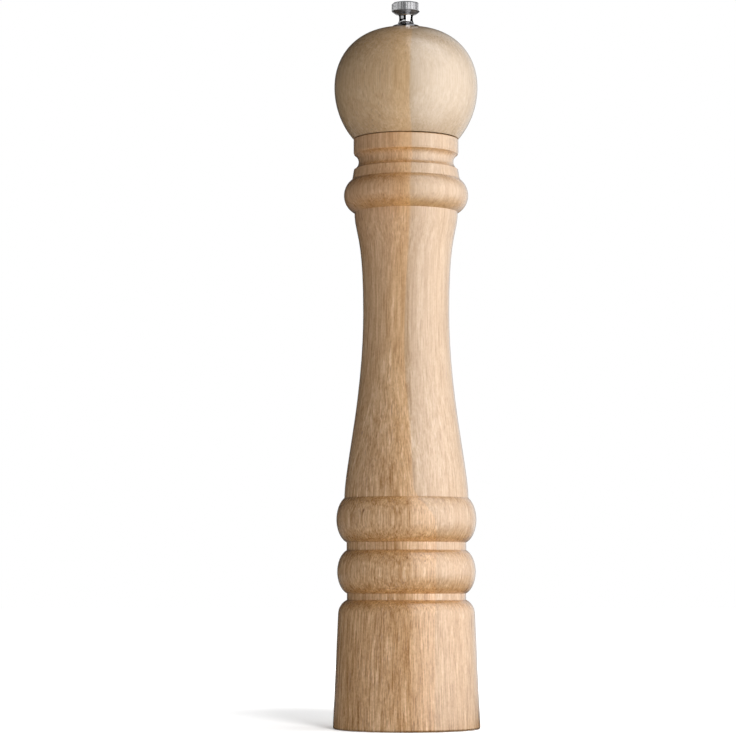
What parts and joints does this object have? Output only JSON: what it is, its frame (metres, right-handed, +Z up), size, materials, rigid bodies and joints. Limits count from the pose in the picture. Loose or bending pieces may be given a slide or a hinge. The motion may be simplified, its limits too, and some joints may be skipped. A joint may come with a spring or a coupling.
{
  "type": "pepper mill",
  "caption": "Tall turned wooden pepper mill with a ball head that turns a burr grinder in the base, and a knurled metal knob that sets the grind.",
  "frame": {"origin": "centre of the foot, on the plane it stands on", "axes": "+Z up along the axis of turning, through the knob; +X to the right and -Y towards the viewer of the picture"},
  "size_m": [0.071, 0.071, 0.3541],
  "materials": {
    "body_wood": "satin lacquer over fine upright grain",
    "head_wood": "satin lacquer, paler and smoother than the body",
    "chrome": "polished chrome plate",
    "plated_steel": "zinc plate",
    "spring_steel": "oiled spring steel",
    "burr_steel": "hardened dark steel",
    "aluminium": "drawn bar",
    "white_nylon": "moulded nylon",
    "black_nylon": "moulded glass-filled nylon"
  },
  "bodies": {
    "mill_body": {"body": "body_wood", "mechanism_housing": "black_nylon", "housing_screws": "plated_steel", "stator_ring": "burr_steel", "stator_clip": "spring_steel", "bridge": "plated_steel"},
    "turning_bush": {"guide_bush": "white_nylon", "spring": "spring_steel"},
    "shaft": {"drive_shaft": "aluminium", "rotor": "burr_steel", "rotor_washer": "plated_steel", "rotor_screw": "plated_steel", "spring_cup": "plated_steel", "shaft_clip": "spring_steel"},
    "turning_head": {"head": "head_wood", "head_bush": "white_nylon", "knob_washer": "white_nylon", "drive_plate": "plated_steel", "drive_plate_screws": "plated_steel"},
    "grind_knob": {"knob": "chrome"}
  },
  "joints": [
    {"name": "mill_turn", "type": "hinge", "parent": "mill_body", "child": "turning_bush", "pos_m": [0, 0, 0.042], "axis": [0, 0, 1], "continuous": true},
    {"name": "shaft_adjust", "type": "slide", "parent": "turning_bush", "child": "shaft", "axis": [0, 0, 1], "range_m": [-0.0016, 0.0004], "deforming": ["spring"]},
    {"name": "head_lift", "type": "slide", "parent": "turning_bush", "child": "turning_head", "axis": [0, 0, 1], "range_m": [0, 0.1]},
    {"name": "knob_turn", "type": "hinge", "parent": "turning_head", "child": "grind_knob", "pos_m": [0, 0, 0.345], "axis": [0, 0, 1], "range_deg": [-181, 721]}
  ],
  "couplings": [
    {"joint": "knob_turn", "follows": "shaft_adjust", "rad_per_m": -7854}
  ]
}
